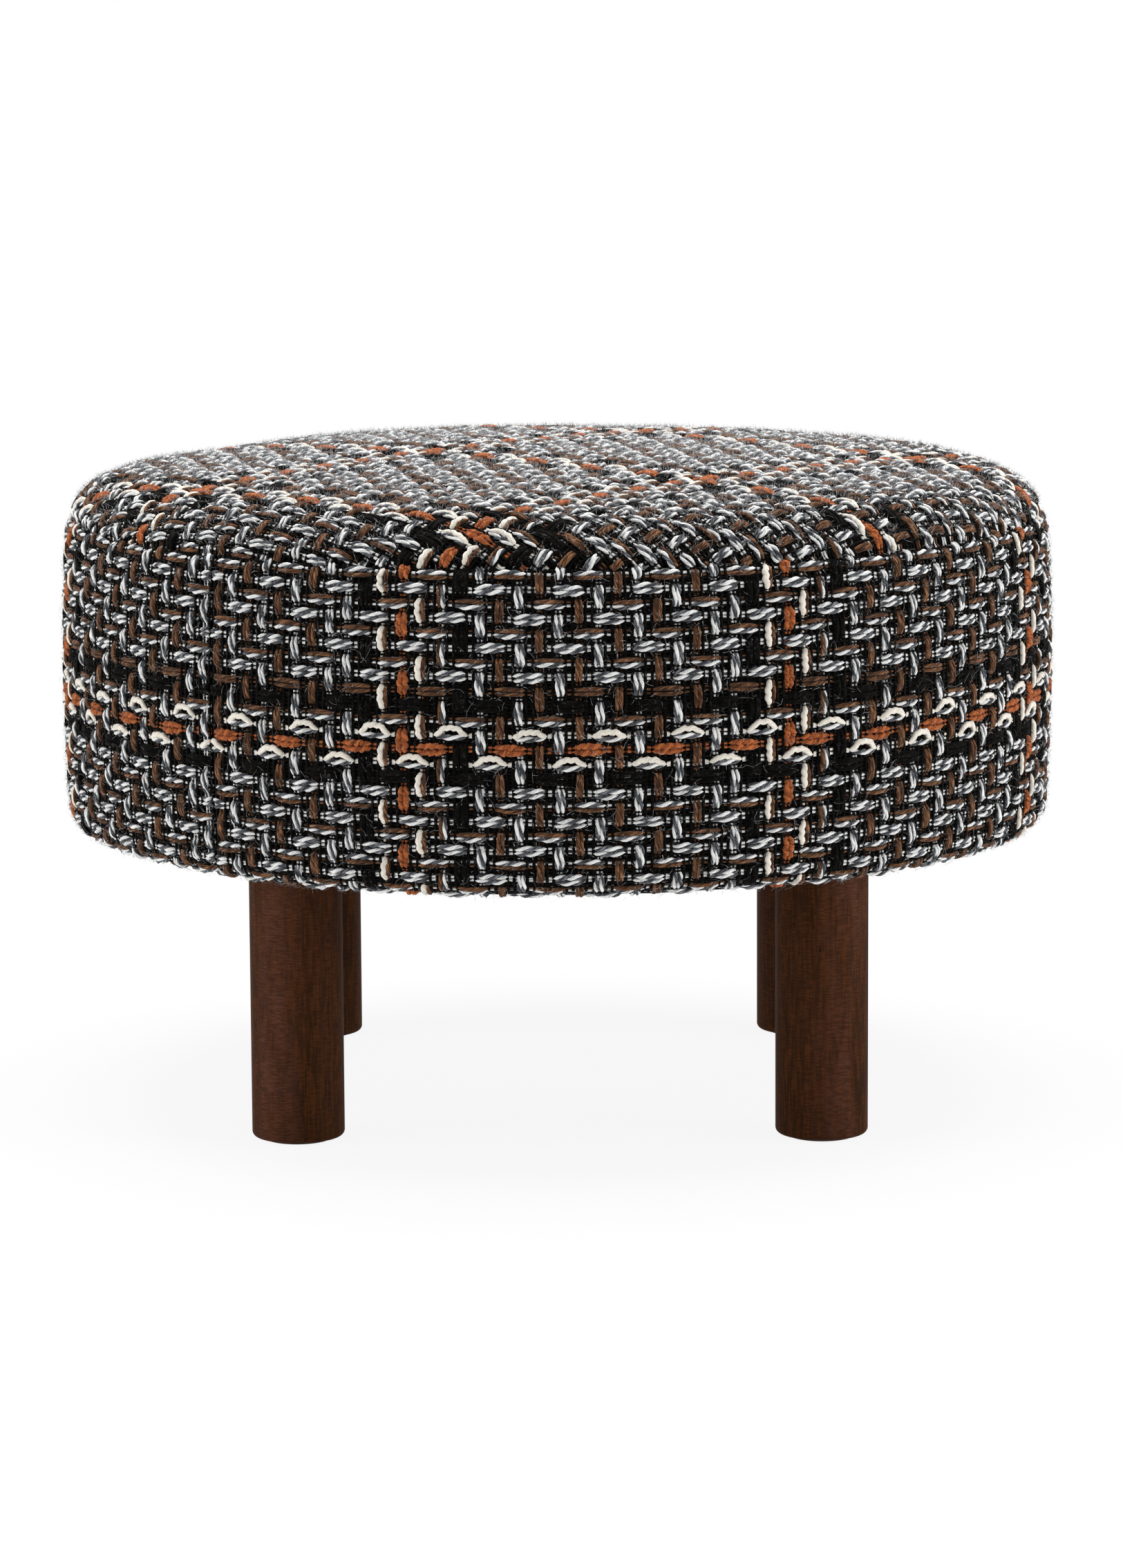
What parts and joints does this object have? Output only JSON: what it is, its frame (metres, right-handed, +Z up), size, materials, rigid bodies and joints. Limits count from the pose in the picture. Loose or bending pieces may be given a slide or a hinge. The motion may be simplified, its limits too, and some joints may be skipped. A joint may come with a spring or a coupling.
{
  "type": "pouf",
  "caption": "Low round upholstered pouf with a crowned seat, covered in chunky checked tweed, on short straight turned wooden legs.",
  "frame": {"origin": "on the floor, under the middle of the drum", "axes": "+Z up, front towards -Y, +X to the right seen from the front"},
  "size_m": [0.55, 0.5498, 0.357],
  "materials": {
    "tweed": "matte",
    "wadding": "matte",
    "foam": "matte",
    "hardboard": "matte",
    "plywood": "matte",
    "pine": "matte",
    "zinc_steel": "satin",
    "stained_wood": "satin",
    "felt": "matte",
    "dust_cloth": "matte"
  },
  "bodies": {
    "root": {"top_cover": "tweed", "side_cover_front": "tweed", "side_cover_rear": "tweed", "wadding": "wadding", "seat_foam": "foam", "side_foam": "foam", "drum_wall": "hardboard", "top_board": "plywood", "base_board": "plywood", "batten_1": "pine", "batten_2": "pine", "batten_3": "pine", "batten_4": "pine", "batten_5": "pine", "batten_6": "pine", "batten_7": "pine", "batten_8": "pine", "leg_block_front_left": "pine", "leg_block_front_right": "pine", "leg_block_rear_right": "pine", "leg_block_rear_left": "pine", "tee_nuts": "zinc_steel", "hanger_bolts": "zinc_steel", "top_board_screws": "zinc_steel", "base_board_screws": "zinc_steel", "leg_block_screws": "zinc_steel", "leg_front_left": "stained_wood", "leg_front_right": "stained_wood", "leg_rear_right": "stained_wood", "leg_rear_left": "stained_wood", "foot_pad_front_left": "felt", "foot_pad_front_right": "felt", "foot_pad_rear_right": "felt", "foot_pad_rear_left": "felt", "dust_cover": "dust_cloth"}
  },
  "joints": []
}
